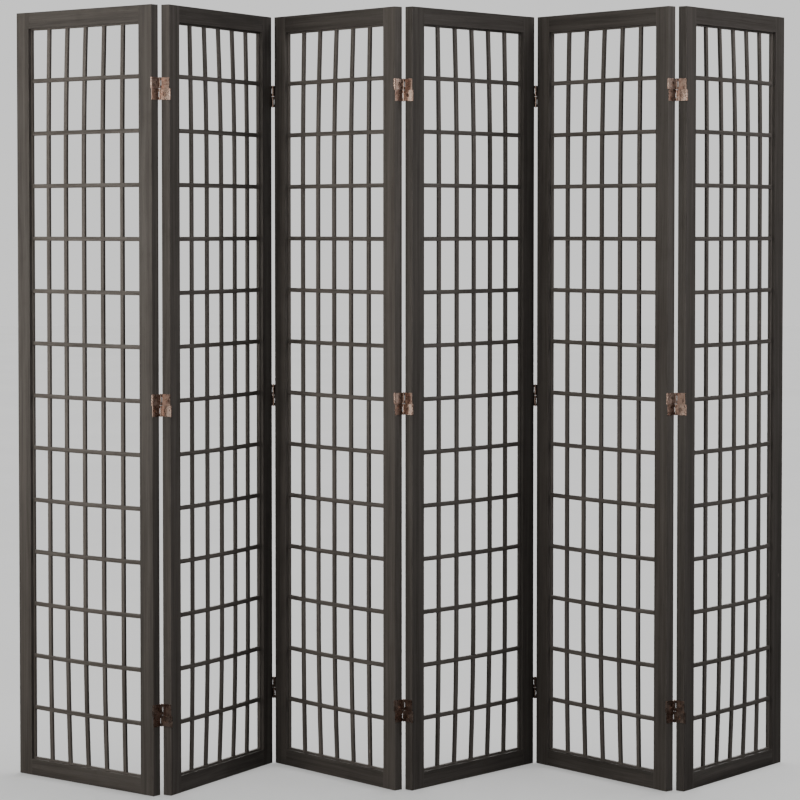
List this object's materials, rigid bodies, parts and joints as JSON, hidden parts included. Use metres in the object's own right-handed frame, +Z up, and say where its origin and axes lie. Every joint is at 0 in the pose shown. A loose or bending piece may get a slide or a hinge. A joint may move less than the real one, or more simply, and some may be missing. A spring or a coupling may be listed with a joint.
{
  "type": "folding screen",
  "caption": "Free-standing folding room divider: hinged dark wooden panels, each an open lattice of thin bars in a slim frame, joined by double-acting metal hinges.",
  "frame": {"origin": "middle of the standing screen's footprint, on the floor", "axes": "+X from the left panel to the right one as seen from the front, +Y from the front to the back, +Z up"},
  "size_m": [1.8102, 0.412, 1.784],
  "materials": {
    "frame_wood": "dark matt stained softwood",
    "lattice_wood": "dark matt stained softwood, thin bars",
    "hinge_plate": "coppery plated steel, satin",
    "hinge_pin": "coppery plated steel, satin",
    "screw": "coppery plated steel, satin"
  },
  "bodies": {
    "panel_1": {"panel1_left_stile": "frame_wood", "panel1_right_stile": "frame_wood", "panel1_top_rail": "frame_wood", "panel1_bottom_rail": "frame_wood", "panel1_lattice_uprights": "lattice_wood", "panel1_lattice_crossbars": "lattice_wood", "panel1_hinge_leaves": "hinge_plate", "panel1_hinge_links": "hinge_plate", "panel1_hinge_pins": "hinge_pin", "panel1_hinge_screws": "screw"},
    "panel_2": {"panel2_left_stile": "frame_wood", "panel2_right_stile": "frame_wood", "panel2_top_rail": "frame_wood", "panel2_bottom_rail": "frame_wood", "panel2_lattice_uprights": "lattice_wood", "panel2_lattice_crossbars": "lattice_wood", "panel2_hinge_leaves": "hinge_plate", "panel2_hinge_links": "hinge_plate", "panel2_hinge_pins": "hinge_pin", "panel2_hinge_screws": "screw"},
    "panel_3": {"panel3_left_stile": "frame_wood", "panel3_right_stile": "frame_wood", "panel3_top_rail": "frame_wood", "panel3_bottom_rail": "frame_wood", "panel3_lattice_uprights": "lattice_wood", "panel3_lattice_crossbars": "lattice_wood", "panel3_hinge_leaves": "hinge_plate", "panel3_hinge_links": "hinge_plate", "panel3_hinge_pins": "hinge_pin", "panel3_hinge_screws": "screw"},
    "panel_4": {"panel4_left_stile": "frame_wood", "panel4_right_stile": "frame_wood", "panel4_top_rail": "frame_wood", "panel4_bottom_rail": "frame_wood", "panel4_lattice_uprights": "lattice_wood", "panel4_lattice_crossbars": "lattice_wood", "panel4_hinge_leaves": "hinge_plate", "panel4_hinge_links": "hinge_plate", "panel4_hinge_pins": "hinge_pin", "panel4_hinge_screws": "screw"},
    "panel_5": {"panel5_left_stile": "frame_wood", "panel5_right_stile": "frame_wood", "panel5_top_rail": "frame_wood", "panel5_bottom_rail": "frame_wood", "panel5_lattice_uprights": "lattice_wood", "panel5_lattice_crossbars": "lattice_wood", "panel5_hinge_leaves": "hinge_plate", "panel5_hinge_links": "hinge_plate", "panel5_hinge_pins": "hinge_pin", "panel5_hinge_screws": "screw"},
    "panel_6": {"panel6_left_stile": "frame_wood", "panel6_right_stile": "frame_wood", "panel6_top_rail": "frame_wood", "panel6_bottom_rail": "frame_wood", "panel6_lattice_uprights": "lattice_wood", "panel6_lattice_crossbars": "lattice_wood", "panel6_hinge_leaves": "hinge_plate", "panel6_hinge_links": "hinge_plate", "panel6_hinge_pins": "hinge_pin", "panel6_hinge_screws": "screw"}
  },
  "joints": [
    {"name": "fold_2", "type": "hinge", "parent": "panel_3", "child": "panel_2", "pos_m": [-0.31235, 0.18569, 0.884], "axis": [0, 0, 1], "range_deg": [-109.1, 70.9]},
    {"name": "fold_1", "type": "hinge", "parent": "panel_2", "child": "panel_1", "pos_m": [-0.54901, -0.18243, 0.884], "axis": [0, 0, -1], "range_deg": [-99, 81]},
    {"name": "fold_3", "type": "hinge", "parent": "panel_3", "child": "panel_4", "pos_m": [-0.00162, -0.12248, 0.884], "axis": [0, 0, 1], "range_deg": [-95.8, 84.2]},
    {"name": "fold_4", "type": "hinge", "parent": "panel_4", "child": "panel_5", "pos_m": [0.31339, 0.18132, 0.884], "axis": [0, 0, -1], "range_deg": [-97.2, 82.8]},
    {"name": "fold_5", "type": "hinge", "parent": "panel_5", "child": "panel_6", "pos_m": [0.6165, -0.13435, 0.884], "axis": [0, 0, 1], "range_deg": [-101.3, 78.7]}
  ]
}
